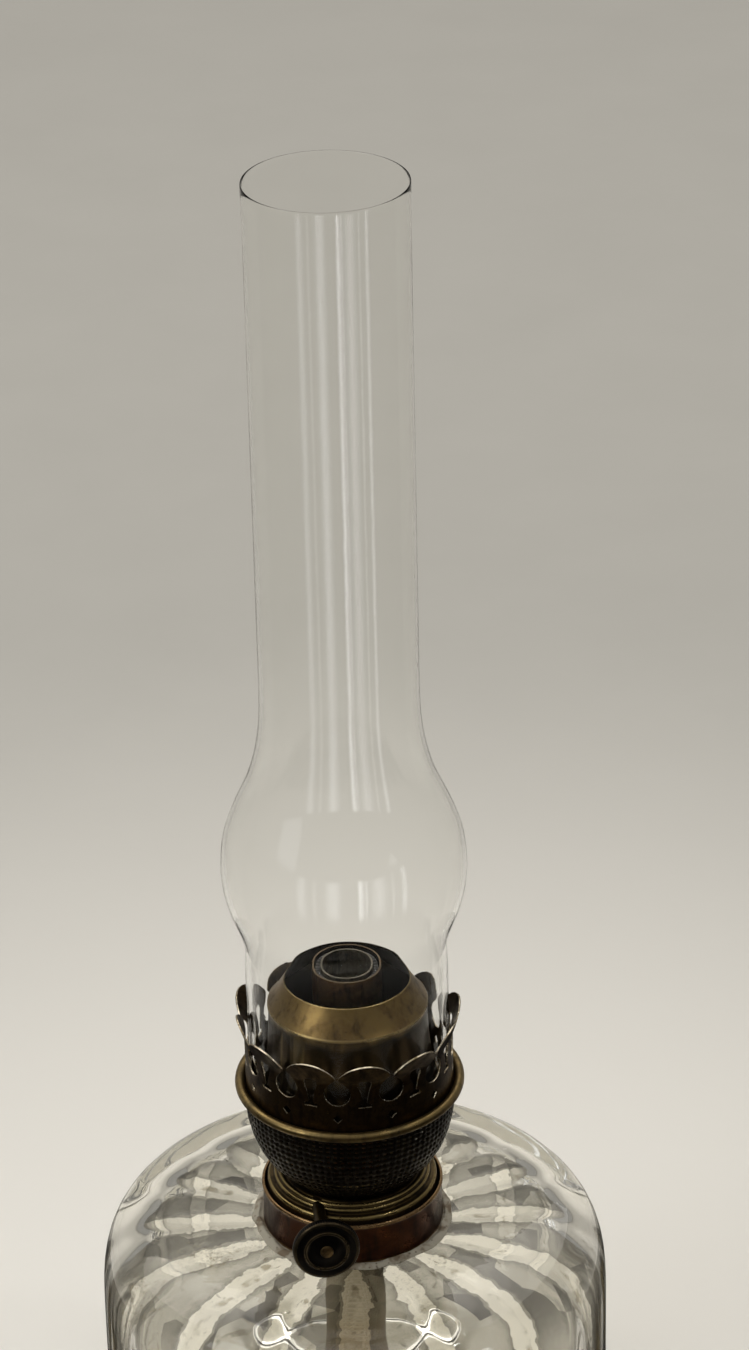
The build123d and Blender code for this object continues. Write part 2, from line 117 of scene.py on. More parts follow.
class Finish:
    def __init__(self, name, holders=bpy.data.materials, endKind="ShaderNodeOutputMaterial"):
        self.holder = holders.new(name)
        self.holder.use_nodes = True
        self.tree = self.holder.node_tree
        self.tree.nodes.clear()
        self.endKind = endKind

    def node(self, kind, settings=None, sockets=None, out=0):
        made = self.tree.nodes.new(kind)
        for key, value in (settings or {}).items():
            setattr(made, key, value)
        for key, value in (sockets or {}).items():
            target = socketOf(made.inputs, key)
            if isinstance(value, Wire):
                self.tree.links.new(value.socket, target)
            else:
                target.default_value = value
        return Wire(self, socketOf(made.outputs, out))

    def place(self, scale=(1, 1, 1), turn=(0, 0, 0)):
        spot = self.node("ShaderNodeTexCoord", out="Object")
        return self.node("ShaderNodeMapping", None, {"Vector": spot, "Scale": scale, "Rotation": turn})

    def height(self):  # metres above the table
        return self.node("ShaderNodeSeparateXYZ", None, {"Vector": self.place()}, "Z")

    def cloud(self, size, detail=3.0, rough=0.55, where=None, warp=0.0):  # noise with lumps of about size mm
        sockets = {"Scale": 1 / (size * mm), "Detail": detail, "Roughness": rough, "Distortion": warp}
        sockets["Vector"] = where if where else self.place()
        return self.node("ShaderNodeTexNoise", None, sockets, "Fac")

    def cells(self, size, out="Distance"):
        sockets = {"Scale": 1 / (size * mm), "Vector": self.place()}
        return self.node("ShaderNodeTexVoronoi", None, sockets, out)

    def facingAxis(self):  # 1 on walls that look inward to the lamp's axis
        spot = self.node("ShaderNodeVectorMath", {"operation": "MULTIPLY"}, {0: self.place(), 1: (1, 1, 0)})
        normal = self.node("ShaderNodeNewGeometry", out="Normal")
        dot = self.node("ShaderNodeVectorMath", {"operation": "DOT_PRODUCT"}, {0: spot, 1: normal}, "Value")
        return dot.fade(0.001, -0.001)

    def mark(self, name):  # a value painted on the mesh
        return self.node("ShaderNodeAttribute", {"attribute_name": name}, out="Fac")

    def ray(self, kind):
        return self.node("ShaderNodeLightPath", out="Is " + kind + " Ray")

    def tint(self, under, over, amount):
        sockets = {"Factor_Float": amount, "A_Color": paint(under), "B_Color": paint(over)}
        return self.node("ShaderNodeMix", {"data_type": "RGBA"}, sockets, "Result_Color")

    def relief(self, height, depth, strength=1.0):  # depth in mm
        sockets = {"Height": height, "Distance": depth * mm, "Strength": strength}
        return self.node("ShaderNodeBump", None, sockets)

    def show(self, sockets):
        return self.output(self.node("ShaderNodeBsdfPrincipled", None, sockets))

    def output(self, shader):
        end = self.tree.nodes.new(self.endKind)
        self.tree.links.new(shader.socket, end.inputs["Surface"])
        return self.holder


def socketOf(sockets, key):
    byId = [s for s in sockets if s.identifier == key]
    return byId[0] if byId else sockets[key]


def paint(colour):
    return colour if isinstance(colour, Wire) else (*colour, 1.0)


# aged brass: metal, brown patina, darker staining, rubbed edges and fine scratches
def agedBrass(name, look):
    f = Finish(name)
    broad = f.cloud(look["patch"], 4, 0.6, warp=0.6)
    fine = f.cloud(0.9, 5, 0.7)
    grain = f.cloud(0.22, 3, 0.7)
    runs = f.cloud(2.2, 4, 0.6, f.place(scale=(1, 1, 0.16)))
    turned = f.cloud(0.5, 2, 0.6, f.place(scale=(0.12, 0.12, 3.0)))  # marks left by spinning the sheet
    patina = (broad * 0.7 + fine * 0.3).fade(*look["patina"])
    stain = (runs * 0.6 + broad * 0.4).fade(*look["stain"])
    rubbed = (f.mark("wear") * (0.45 + fine * 0.9)).fade(0.18, 0.75)
    specks = f.cells(1.7).fade(0.16, 0.07) * broad.fade(0.5, 0.62)
    colour = f.tint(look["metal"], look["brown"], patina)
    colour = f.tint(colour, look["dark"], stain * look["stainAmount"])
    if "wear" in look:
        colour = f.tint(colour, look["bright"], rubbed * look["wear"])
    colour = f.tint(colour, look["dark"], specks * 0.8)
    if "shade" in look:  # painted shade below a height, with a few brighter streaks painted as reflections
        low, high, amount = look["shade"]
        under = (f.height() + (broad - 0.5) * (6 * mm)).fade(high * mm, low * mm)
        reflectionStreaks = f.cloud(4.5, 2, 0.5, f.place(scale=(1, 1, 0.04))).fade(0.56, 0.68)
        colour = f.tint(colour, look["dark"], under * amount)
        colour = f.tint(colour, look["bright"], under * reflectionStreaks * 0.32)
    if "rim" in look:  # worn bright along the top edge
        lip = f.height().fade((look["rim"] - 0.3) * mm, (look["rim"] - 0.1) * mm)
        colour = f.tint(colour, look["bright"], lip * (0.4 + fine))
    metallic = 1 - (patina * 0.25 + stain * 0.2).least(look["dull"])
    if "soot" in look:  # black on the walls that face the flame
        soot = f.facingAxis() * look["soot"]
        colour = f.tint(colour, (0.006, 0.005, 0.004), soot)
        metallic = metallic.most(soot)
    smooth, dulled = look["rough"]
    bumps = grain * 0.35 + fine * 0.4 + turned * 0.35 - specks * 0.5
    return f.show({
        "Base Color": colour,
        "Metallic": metallic,
        "Roughness": smooth + patina * dulled + (grain - 0.5) * 0.16 + stain * 0.08 - rubbed * 0.1,
        "Normal": f.relief(bumps, 0.035, look["relief"]),
    })


# colour of the fount between its ribs: painted shade that greys the panels and darkens scattered spots,
# standing in for the darker room the glass refracts, and brown streaks along the ribs
def betweenRibs(f, look):
    rib = f.mark("across")  # mm from the middle of the nearest rib
    across = rib + (f.cloud(6, 3, 0.6) - 0.5) * 5.5
    height = f.height()
    panel = across.fade(*look["panelFrom"]) * height.fade(*(z * mm for z in look["panelRise"]))
    darkSpots = f.node("ShaderNodeSeparateXYZ", None, {"Vector": f.cells(look["darkSpot"], "Color")})
    darkSpot = darkSpots.part("X").fade(0.60, 0.61) * darkSpots.part("Y").fade(0.0, 1.0, 0.7, 1.0)
    darkSpot = darkSpot * across.fade(*look["darkSpotFrom"]) * height.fade(*(z * mm for z in look["darkSpotRise"]))
    streak = across.fade(*look["streakFrom"]) * f.cloud(15, 3, 0.6).fade(0.47, 0.57) * rib.fade(0.0, 0.1)
    colour = f.tint(look["clear"], look["grime"], panel * across.fade(3.2, 7.0, 1.0, 0.72))
    return f.tint(colour, look["darkSpotShade"], darkSpot), streak


# clear glass that also lets the lamps light what is behind it
def clearGlass(name, look):
    f = Finish(name)
    swell = f.cloud(look["wave"], 2, 0.45)
    cord = f.cloud(look["wave"] * 0.5, 2, 0.5, f.place(scale=(1, 1, 0.2)))
    seeds = f.cells(5).fade(0.16, 0.04) * f.cloud(16, 2, 0.5).fade(0.5, 0.6)
    dust = f.cloud(look["dustSize"], 5, 0.7) * f.cloud(28, 2, 0.5)
    film = dust.fade(*look["film"])
    # darker tint where the glass is seen edge-on: partly the glass's colour through its thickness, partly
    # painted shade along the outline
    edge = f.node("ShaderNodeLayerWeight", None, {"Blend": 0.5}, "Facing").fade(*look["edge"])
    edge = edge * f.cloud(3.5, 3, 0.6, f.place(scale=(1, 1, 0.1))).fade(0.38, 0.58, 0.62, 1.0)
    colour = look["clear"]
    marks = film
    rough = 0.0
    if "grime" in look:
        # painted shade on the panels between the ribs, with brown streaks along the ribs
        colour, streak = betweenRibs(f, look)
        marks = film.most(streak)
        rough = film * look["haze"]
        edge = edge * f.height().fade(look["shoulder"][1] * mm, look["shoulder"][0] * mm)
    colour = f.tint(colour, look["stain"], marks * look["stainAmount"])
    glass = f.node("ShaderNodeBsdfPrincipled", None, {
        "Base Color": f.tint(colour, look["rim"], edge),
        "Roughness": rough,
        "IOR": look["ior"],
        "Transmission Weight": 1.0,
        "Normal": f.relief(swell * 0.7 + cord * 0.3 + seeds * look["seed"], look["ripple"]),
    })
    through = f.node("ShaderNodeBsdfTransparent", None, {"Color": paint(look["shadow"])})
    return f.output(f.node("ShaderNodeMixShader", None, {0: f.ray("Shadow"), 1: glass, 2: through}))


finish = {}
# the grey panel colour and the near-black spot colour below are painted shade
finish["fountGlass"] = clearGlass("fount_glass", {
    "clear": (0.998, 0.985, 0.93), "grime": (0.15, 0.146, 0.128), "darkSpotShade": (0.03, 0.028, 0.027),
    "stain": (0.17, 0.125, 0.035), "stainAmount": 0.8, "rim": (0.03, 0.021, 0.008),
    "shadow": (0.95, 0.945, 0.92), "darkSpot": 1000 / 105, "shoulder": (76, 87), "edge": (0.5, 0.8),
    "panelFrom": (3.5, 3.8), "darkSpotFrom": (4.4, 4.6), "streakFrom": (1.5, 0.4),  # mm from a rib's middle
    "panelRise": (16, 72), "darkSpotRise": (66, 80),  # heights over which they set in
    "film": (0.33, 0.5), "dustSize": 1.2, "haze": 0.08,
    "ior": 1.35, "wave": 12.0, "ripple": 0.06, "seed": 0.6,
})
finish["chimneyGlass"] = clearGlass("chimney_glass", {
    "clear": (0.99, 0.99, 0.98), "stain": (0.95, 0.94, 0.9), "stainAmount": 0.4, "rim": (0.80, 0.80, 0.77),
    "shadow": (0.97, 0.97, 0.96), "edge": (0.80, 1.0), "film": (0.36, 0.55), "dustSize": 2.0,
    "ior": 1.2, "wave": 30.0, "ripple": 0.05, "seed": 0.3,
})
finish["collar"] = agedBrass("collar_brass", {
    "metal": (0.062, 0.021, 0.008), "brown": (0.034, 0.011, 0.005),
    "dark": (0.014, 0.008, 0.005), "bright": (0.30, 0.19, 0.09),
    "patch": 9, "patina": (0.36, 0.62), "stain": (0.48, 0.66), "stainAmount": 0.8, "wear": 0.9,
    "rough": (0.26, 0.16), "dull": 0.06, "relief": 0.4,
})
# painted shade: the bead's brass darkened to about four tenths, for the burner base and shaft sleeve under
# the basket and gallery
finish["base"] = agedBrass("base_brass", {
    "metal": (0.085, 0.056, 0.02), "brown": (0.038, 0.024, 0.009),
    "dark": (0.012, 0.008, 0.005), "bright": (0.34, 0.25, 0.10),
    "patch": 7, "patina": (0.36, 0.62), "stain": (0.5, 0.66), "stainAmount": 0.8, "wear": 0.8,
    "rough": (0.28, 0.18), "dull": 0.08, "relief": 0.45,
})
finish["bead"] = agedBrass("bead_brass", {
    "metal": (0.21, 0.14, 0.05), "brown": (0.09, 0.055, 0.02),
    "dark": (0.02, 0.013, 0.007), "bright": (0.40, 0.30, 0.13),
    "patch": 7, "patina": (0.36, 0.62), "stain": (0.46, 0.64), "stainAmount": 0.8, "wear": 0.6,
    "rough": (0.3, 0.18), "dull": 0.06, "relief": 0.45,
})
# the cone's shade entry paints shade on the wall below the shoulder, with painted reflection streaks
finish["cone"] = agedBrass("cone_brass", {
    "metal": (0.20, 0.132, 0.047), "brown": (0.115, 0.07, 0.025),
    "dark": (0.022, 0.014, 0.007), "bright": (0.34, 0.25, 0.11),
    "patch": 10, "patina": (0.40, 0.68), "stain": (0.48, 0.7), "stainAmount": 0.75, "wear": 0.7,
    "rough": (0.32, 0.16), "dull": 0.05, "relief": 0.4, "soot": 0.95, "shade": (152.5, 155.0, 0.9),
})
# painted shade: the crown's brass is the bead's brass darkened to about four tenths
finish["crown"] = agedBrass("crown_brass", {
    "metal": (0.085, 0.052, 0.02), "brown": (0.036, 0.02, 0.009),
    "dark": (0.012, 0.008, 0.005), "bright": (0.42, 0.33, 0.17),
    "patch": 6, "patina": (0.36, 0.6), "stain": (0.5, 0.66), "stainAmount": 0.8, "wear": 0.9,
    "rough": (0.28, 0.2), "dull": 0.06, "relief": 0.4,
})
finish["crownEdge"] = agedBrass("crown_edge", {
    "metal": (0.62, 0.55, 0.42), "brown": (0.24, 0.175, 0.09), "dark": (0.03, 0.02, 0.01),
    "patch": 3, "patina": (0.46, 0.62), "stain": (0.52, 0.68), "stainAmount": 0.7,
    "rough": (0.22, 0.2), "dull": 0.2, "relief": 0.3,
})
# painted shade: the basket's brass is darkened nearly to black, deep under the cone and gallery
finish["basket"] = agedBrass("dark_brass", {
    "metal": (0.009, 0.006, 0.0035), "brown": (0.005, 0.0035, 0.002),
    "dark": (0.003, 0.0025, 0.002), "bright": (0.03, 0.02, 0.01),
    "patch": 6, "patina": (0.34, 0.56), "stain": (0.46, 0.62), "stainAmount": 0.8, "wear": 0.3,
    "rough": (0.34, 0.2), "dull": 0.04, "relief": 0.4,
})
finish["sooted"] = agedBrass("sooted_brass", {
    "metal": (0.17, 0.088, 0.036), "brown": (0.08, 0.037, 0.015),
    "dark": (0.014, 0.009, 0.006), "bright": (0.24, 0.17, 0.10),
    "patch": 6, "patina": (0.40, 0.66), "stain": (0.50, 0.68), "stainAmount": 0.85, "wear": 0.8,
    "rough": (0.32, 0.2), "dull": 0.06, "relief": 0.5, "soot": 0.95, "rim": level["tubeTop"],
})
finish["tube"] = agedBrass("tube_brass", {
    "metal": (0.17, 0.145, 0.10), "brown": (0.08, 0.066, 0.05),
    "dark": (0.018, 0.016, 0.014), "bright": (0.17, 0.15, 0.115),
    "patch": 5, "patina": (0.38, 0.62), "stain": (0.46, 0.64), "stainAmount": 0.85, "wear": 0.8,
    "rough": (0.36, 0.2), "dull": 0.08, "relief": 0.5, "rim": level["tubeTop"],
})
finish["winder"] = agedBrass("winder_brass", {
    "metal": (0.17, 0.11, 0.046), "brown": (0.075, 0.045, 0.02),
    "dark": (0.018, 0.012, 0.008), "bright": (0.38, 0.28, 0.15),
    "patch": 4, "patina": (0.4, 0.64), "stain": (0.5, 0.66), "stainAmount": 0.8, "wear": 0.9,
    "rough": (0.3, 0.18), "dull": 0.06, "relief": 0.5,
})
finish["knob"] = agedBrass("knob_metal", {
    "metal": (0.012, 0.0095, 0.0076), "brown": (0.007, 0.006, 0.005),
    "dark": (0.006, 0.005, 0.005), "bright": (0.26, 0.19, 0.10),
    "patch": 5, "patina": (0.34, 0.6), "stain": (0.46, 0.64), "stainAmount": 0.8, "wear": 0.6,
    "rough": (0.3, 0.16), "dull": 0.05, "relief": 0.5,
})


# off-white plaster, crumbly, with brown staining
def oldPlaster(look):
    f = Finish("cement")
    lumps = f.cloud(2.4, 5, 0.65)
    grit = f.cloud(0.5, 4, 0.7)
    pits = f.cells(1.3).fade(0.3, 0.12)
    dirt = f.cloud(5, 3, 0.6).fade(0.48, 0.66)
    colour = f.tint(look["clean"], look["dirty"], dirt)
    return f.show({
        "Base Color": f.tint(colour, look["pits"], pits * 0.7),
        "Roughness": 0.82 - grit * 0.15,
        "Normal": f.relief(lumps * 0.8 + grit * 0.5 - pits * 0.6, 0.3, 0.8),
    })


finish["cement"] = oldPlaster({
    "clean": (0.34, 0.31, 0.24), "dirty": (0.15, 0.11, 0.065), "pits": (0.10, 0.07, 0.04),
})


# woven cotton, straw coloured below and charred at the burning edge
def wickCotton(look):
    f = Finish("wick_cotton")
    uv = f.node("ShaderNodeSeparateXYZ", None, {"Vector": f.node("ShaderNodeTexCoord", out="UV")})
    across = uv.part("X") * look["threads"][0]
    along = uv.part("Y") * look["threads"][1]
    warp = (across * math.tau).sine()
    weft = (along * math.tau).sine()
    checks = ((across * math.pi).sine() * (along * math.pi).sine()).fade(-0.3, 0.3)
    weave = checks * (warp * 0.5 + 0.5) + (1 - checks) * (weft * 0.5 + 0.5)
    fuzz = f.cloud(0.6, 4, 0.7)
    height = f.height()
    char = (height + (fuzz - 0.5) * (4 * mm)).fade(look["charFrom"] * mm, look["charTo"] * mm)
    oiled = (height + (fuzz - 0.5) * (6 * mm)).fade(look["oilFrom"] * mm, look["oilTo"] * mm)
    colour = f.tint(look["pale"], look["straw"], weave * 0.5 + fuzz * 0.5)
    colour = f.tint(colour, look["oiled"], oiled * 0.6)
    return f.show({
        "Base Color": f.tint(colour, look["char"], char),
        "Roughness": 0.86 - oiled * 0.3,
        "Normal": f.relief(weave * 0.8 + fuzz * 0.4, 0.25, 0.7),
        "Sheen Weight": 0.25,
        "Sheen Roughness": 0.5,
    })


finish["wick"] = wickCotton({
    "pale": (0.60, 0.53, 0.40), "straw": (0.44, 0.37, 0.26), "oiled": (0.30, 0.21, 0.10),
    "char": (0.012, 0.011, 0.010), "charFrom": 156.0, "charTo": 163.2, "oilFrom": 62, "oilTo": 40,
    "threads": (46, 130),
})
print("finishes made", len(finish))


# mesh helpers
def outlineMesh(points, closed):
    bm = bmesh.new()
    verts = [bm.verts.new((r * mm, 0, z * mm)) for r, z in points]
    for pair in zip(verts, verts[1:] + (verts[:1] if closed else [])):
        bm.edges.new(pair)
    return bm


def smoothCurve(points, gap):
    # even points about gap mm apart on a curve through the given ones
    spots = [Vector(p) for p in points]
    spots = [spots[0] * 2 - spots[1]] + spots + [spots[-1] * 2 - spots[-2]]
    curve = []
    for a, b, c, d in zip(spots, spots[1:], spots[2:], spots[3:]):
        length = (c - b).length
        pull = min(length / max((d - b).length, 0.01), length / max((c - a).length, 0.01))
        start, end = (c - a) * pull, (d - b) * pull
        parts = max(round(length / gap), 1)
        for t in [i / parts for i in range(parts)]:
            curve.append((2 * t ** 3 - 3 * t * t + 1) * b + (t ** 3 - 2 * t * t + t) * start
                         + (3 * t * t - 2 * t ** 3) * c + (t ** 3 - t * t) * end)
    return curve + [Vector(points[-1])]


def turnOnLathe(bm, steps):
    bmesh.ops.spin(bm, geom=bm.verts[:] + bm.edges[:], cent=(0, 0, 0), axis=(0, 0, 1), dvec=(0, 0, 0),
                   angle=math.tau, steps=steps, use_merge=True)
    bmesh.ops.remove_doubles(bm, verts=bm.verts, dist=0.002 * mm)
    bmesh.ops.recalc_face_normals(bm, faces=bm.faces)
    pointOutward(bm, max(bm.faces, key=lambda face: face.calc_center_median().xy.length))
    return bm


def pointOutward(bm, face):
    if face.normal.dot(face.calc_center_median() * Vector((1, 1, 0))) < 0:
        bmesh.ops.reverse_faces(bm, faces=bm.faces)


def markWear(bm, low, high):
    # how sharp each corner is, in degrees from low to high, for rubbed edges
    wear = bm.verts.layers.float.new("wear")
    for vert in bm.verts:
        bends = [e.calc_face_angle_signed(0) for e in vert.link_edges if len(e.link_faces) == 2]
        loose = any(len(e.link_faces) == 1 for e in vert.link_edges)
        steep = 1.0 if loose else (math.degrees(max(bends, default=0)) - low) / (high - low)
        vert[wear] = min(max(steep, 0), 1)


def addPiece(name, bm, body, material, nodes, sharp=0):
    mesh = bpy.data.meshes.new(name)
    bm.to_mesh(mesh)
    bm.free()
    mesh.materials.append(material)
    mesh.shade_smooth()
    if sharp:
        mesh.set_sharp_from_angle(angle=math.radians(sharp))
    obj = bpy.data.objects.new(name, mesh)
    scene.collection.objects.link(obj)
    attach(obj, body)
    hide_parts(*nodes)
    return obj


def soften(obj):
    smooth = obj.modifiers.new("Smooth", "SUBSURF")
    smooth.levels = smooth.render_levels = 1


def thicken(obj, wall, offset=-1.0):
    shell = obj.modifiers.new("Wall", "SOLIDIFY")
    shell.thickness = wall * mm
    shell.offset = offset
    shell.use_even_offset = True
    return shell


def easeEdges(obj, width):
    ease = obj.modifiers.new("Edges", "BEVEL")
    ease.width = width * mm
    ease.segments = 2
    ease.limit_method = "ANGLE"
    ease.angle_limit = math.radians(30)
    ease.use_clamp_overlap = True
    ease.harden_normals = False


def spunPiece(name, settings, body, material, nodes):
    # a closed outline is turned as it is, and an open one gets the sheet's thickness
    bm = turnOnLathe(outlineMesh(settings["outline"], "sheet" not in settings), settings["steps"])
    markWear(bm, *settings["wear"])
    obj = addPiece(name, bm, body, material, nodes)
    if "sheet" in settings:
        thicken(obj, settings["sheet"])
    soften(obj)


# chimney: thin blown glass, thinner toward the fire-polished mouth
chimney = {
    "wall": (1.5, 0.42),  # at the foot and at the mouth
    "thinBy": 240,
    "rounding": (0.8, 0.6),
    "steps": 72,
    "gap": 3.0,
    "outline": [
        (26.5, 0.5), (26.5, 18), (26.5, 35), (26.25, 42), (27.9, 48.3), (30.1, 54), (31.5, 60),
        (31.85, 66), (31.0, 74), (28.2, 82), (24.6, 90), (22.2, 98), (20.9, 106), (20.42, 114),
        (20.4, 126), (20.4, 235), (20.42, 246), (20.55, 252.4),
    ],
}


def roundRim(spot, wall, rise):
    turn = ((0.2, 0.75), (0.5, 1.0), (0.8, 0.75))  # shares of the wall and of the rise
    return [spot + Vector((-wall * across, rise * up)) for across, up in turn]


def blowChimney(settings):
    outer = smoothCurve(settings["outline"], settings["gap"])
    foot, mouth = settings["wall"]
    inner = []
    for before, spot, after in zip(outer[:1] + outer, outer, outer[1:] + outer[-1:]):
        along = (after - before).normalized()
        wall = foot + (mouth - foot) * min(spot.y / settings["thinBy"], 1)
        inner.append(spot + Vector((-along.y, along.x)) * wall)
    lip = roundRim(outer[-1], mouth, settings["rounding"][1])
    heel = roundRim(outer[0], foot, -settings["rounding"][0])
    ring = outer + lip + inner[::-1] + heel[::-1]
    return turnOnLathe(outlineMesh([(r, z + level["bead"]) for r, z in ring], True), settings["steps"])


chimneyGlass = addPiece("chimney_glass", blowChimney(chimney), "chimney",
                        finish["chimneyGlass"], ["chimney"])
soften(chimneyGlass)
print("chimney made")

# fount: heavy clear glass with sixteen soft ribs pressed inside it
fount = {
    "ribs": 16,
    "perRib": 10,
    "share": 0.3,  # of the pitch, from a rib's middle to its edge
    "slope": 0.016,  # height of a rib for each mm of radius
    "ribsFrom": (23, 29),  # the ribs rise between these radii, clear of the neck
    "sway": (0.05, 70),  # share of the pitch a rib wanders, and lumps in a metre
    "wobble": [(0.3, 60), (0.2, 150)],  # share of a rib's height, and lumps in a metre
    "plain": 4,  # mm added to the distance from a rib where there are none
    "hollow": (5.5, 84.5, 64.2),  # floor, ceiling and radius that take in the inside alone
    "outside": [
        (18.2, 92.2), (18.7, 92.7), (20.9, 92.7), (21.4, 92.2), (21.4, 88.6), (22.2, 87.7),
        (25.0, 87.6), (34, 87.9), (46, 88.0), (55, 87.95), (59.6, 87.3), (63.2, 85.2), (65.6, 81.8),
        (67.1, 77.2), (67.8, 71.5), (67.9, 64), (67.9, 48), (67.9, 30), (67.9, 14), (67.2, 8.2),
        (65.0, 3.6), (61.5, 0.9), (58.0, 0.05), (54.5, 0.0), (52.0, 0.2), (50.4, 1.2), (47, 1.9),
        (30, 2.0), (10, 2.0), (0, 2.0),
    ],
    "inside": [
        (0, 6.2), (20, 6.3), (38, 7.6), (49, 10.8), (56.5, 16), (61, 23), (63.2, 31), (63.9, 40),
        (63.9, 50), (63.8, 60), (63.3, 67), (61.9, 73), (59.4, 77.6), (55.8, 81.0), (51.0, 83.2),
        (44, 84.0), (36, 84.1), (27, 84.0), (21, 83.6), (18.9, 83.9), (18.25, 86), (18.2, 89),
    ],
}


def pressRibs(bm, settings):
    bm.normal_update()
    mark = bm.verts.layers.float.new("across")
    floor, ceiling, within = settings["hollow"]
    begin, full = settings["ribsFrom"]
    drift, lumps = settings["sway"]
    for vert in bm.verts:
        r = vert.co.xy.length / mm
        if not floor < vert.co.z / mm < ceiling or r >= within:
            continue
        bearing = math.atan2(vert.co.y, vert.co.x) - towardCamera
        sway = drift * noise.noise(vert.co * lumps)
        across = abs((bearing / math.tau * settings["ribs"] + sway + 0.5) % 1 - 0.5)
        lobe = max(1 - across / settings["share"], 0)
        reach = min(max((r - begin) / (full - begin), 0), 1)
        wobble = 1
        for amount, size in settings["wobble"]:
            wobble += amount * noise.noise(vert.co * size)
        vert.co += vert.normal * lobe * reach * settings["slope"] * r * wobble * mm
        vert[mark] = across * r * math.tau / settings["ribs"] + (1 - reach) * settings["plain"]


bm = turnOnLathe(outlineMesh(fount["outside"] + fount["inside"], True), fount["ribs"] * fount["perRib"])
loose = [e for e in bm.edges if e.is_wire]  # left on the axis by the lathe
bmesh.ops.delete(bm, geom=loose, context="EDGES")
openEdges = [e for e in bm.edges if not e.is_manifold]
pressRibs(bm, fount)
fountGlass = addPiece("fount_glass", bm, "fount", finish["fountGlass"], ["fount"])
soften(fountGlass)
print("fount made, open edges", len(openEdges))

# cement squeezed out under the collar
cement = {
    "steps": 140,
    "crustFrom": 23.6,  # radius past which the surface is rough
    "collar": 24.35,  # the crust stays outside the collar
    "seat": 87.15,
    "grit": [(0.75, 230), (0.3, 900)],  # mm of roughness, and lumps in a metre
    "bulge": (1.6, 40),
    "heave": (0.55, 380),
    "outline": [
        (21.45, 87.5), (23.0, 87.2), (24.4, 87.15), (25.6, 87.2), (26.3, 87.35), (26.55, 87.7),
        (26.2, 88.1), (25.6, 88.45), (25.0, 88.75), (24.5, 88.8), (24.3, 88.3), (23.3, 87.95),
        (23.15, 89.0), (23.15, 92.2), (22.3, 92.6), (21.5, 92.2),
    ],
}


def crumble(bm, settings):
    bulge, few = settings["bulge"]
    heave, many = settings["heave"]
    for vert in bm.verts:
        r = vert.co.xy.length / mm
        if r > settings["crustFrom"]:
            side = Vector((vert.co.x, vert.co.y, 0)).normalized()
            crust = sum(noise.noise(vert.co * lumps) * amount for amount, lumps in settings["grit"])
            crust += bulge * max(noise.noise(vert.co * few + Vector((5, 2, 0))), 0)
            vert.co += side * max(crust, settings["collar"] - r) * mm
            vert.co.z += noise.noise(vert.co * many + Vector((3, 1, 7))) * heave * mm
            vert.co.z = max(vert.co.z, settings["seat"] * mm)


bm = turnOnLathe(outlineMesh(cement["outline"], True), cement["steps"])
crumble(bm, cement)
cementRing = addPiece("neck_cement_ring", bm, "fount", finish["cement"], ["neck_cement"])
soften(cementRing)

# collar: spun sheet with a rolled rim and a lip over the glass
collar = {"steps": 96, "wear": (10, 40), "outline": [
    (23.3, 87.75), (24.0, 87.7), (24.2, 87.9), (24.05, 89.2), (23.95, 90.4), (23.93, 94.5),
    (23.93, 98.2), (24.05, 98.75), (24.24, 99.1), (24.25, 99.5), (24.05, 99.85), (23.75, 100.0),
    (23.42, 99.9), (23.25, 99.6), (23.3, 98.6), (23.26, 96), (23.26, 94.2), (23.0, 93.75),
    (19.6, 93.7), (19.4, 93.4), (19.6, 93.05), (22.9, 93.0), (23.26, 92.7), (23.28, 90),
]}
spunPiece("collar_shell", collar, "fount", finish["collar"], ["collar"])
print("collar and cement made")

# burner base: stepped and beaded sheet over the collar, with the cup for the wick wheels
base = {"steps": 96, "sheet": 0.55, "wear": (8, 34), "outline": [
    (22.9, 93.75), (23.05, 94.0), (23.05, 98.6), (22.75, 99.3), (22.62, 100.3), (22.6, 101.0),
    (22.35, 101.45), (21.8, 101.55), (21.15, 101.55), (20.95, 101.7), (20.88, 102.2), (20.8, 102.65),
    (20.55, 102.9), (20.2, 102.92), (20.02, 103.0), (19.92, 103.3), (19.7, 103.65), (19.35, 103.8),
    (19.0, 103.6), (18.82, 103.2), (18.65, 102.98), (18.3, 102.95), (17.9, 103.05), (17.75, 103.5),
    (17.75, 105.5), (17.7, 107.3), (17.3, 107.85), (16.5, 107.9), (12, 107.9), (9.3, 107.9),
    (9.12, 107.6),
]}
spunPiece("burner_base_shell", base, "burner", finish["base"], ["burner_base"])

# gallery: flat floor inside a rolled bead
gallery = {"steps": 128, "wear": (14, 44), "outline": [
    (22.2, 130.05), (22.2, 130.55), (24, 130.6), (26.6, 130.6), (27.35, 130.65), (27.65, 131.0),
    (27.75, 131.65), (28.15, 132.2), (28.75, 132.45), (29.45, 132.4), (30.05, 132.0), (30.33, 131.4),
    (30.33, 130.75), (30.05, 130.2), (29.5, 129.8), (28.8, 129.72), (28.2, 129.95), (27.6, 130.0),
    (24, 130.0),
]}
spunPiece("gallery_bead", gallery, "burner", finish["bead"], ["gallery_ring"])
print("base and gallery made")

# basket: bowl of thin sheet punched with rows of small square holes
basket = {
    "holes": 92,
    "solidTop": 3,  # rows left whole at the top and at the foot
    "solidFoot": 6,
    "sheet": 0.35,
    "wear": (30, 80),
    "outline": [
        (27.9, 129.9), (27.9, 127.8), (27.75, 125), (27.3, 121.5), (26.4, 117.6), (25.0, 113.8),
        (22.9, 110.2), (20.6, 107.6), (18.8, 105.9), (18.3, 104.2),
    ],
}


